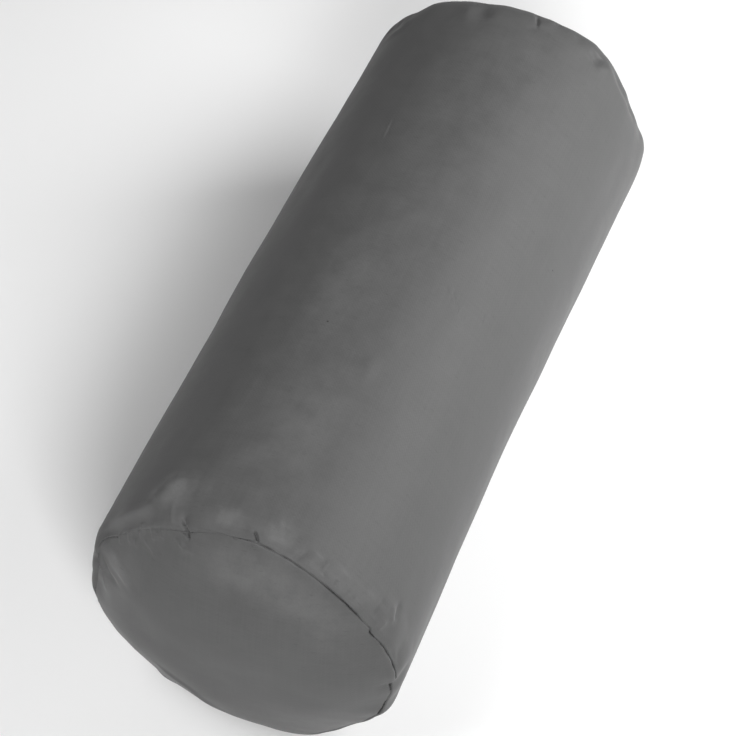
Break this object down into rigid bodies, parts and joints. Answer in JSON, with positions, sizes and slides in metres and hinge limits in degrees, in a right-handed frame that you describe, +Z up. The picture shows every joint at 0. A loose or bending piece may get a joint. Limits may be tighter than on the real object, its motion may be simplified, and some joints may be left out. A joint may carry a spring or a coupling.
{
  "type": "neck roll pillow",
  "caption": "Filled cylindrical bolster pillow of plain grey cloth, with a domed round panel sewn into each end by a plain gathered seam.",
  "frame": {"origin": "middle of the flat foot on which the roll lies", "axes": "+X along the roll from the near end to the far end, +Z up"},
  "size_m": [0.4, 0.158, 0.154],
  "materials": {
    "cover_cloth": "plain-woven dark grey cotton and polyester cloth with a soft sheen"
  },
  "bodies": {
    "root": {"barrel": "cover_cloth", "end_disc_near": "cover_cloth", "end_disc_far": "cover_cloth"}
  },
  "joints": []
}
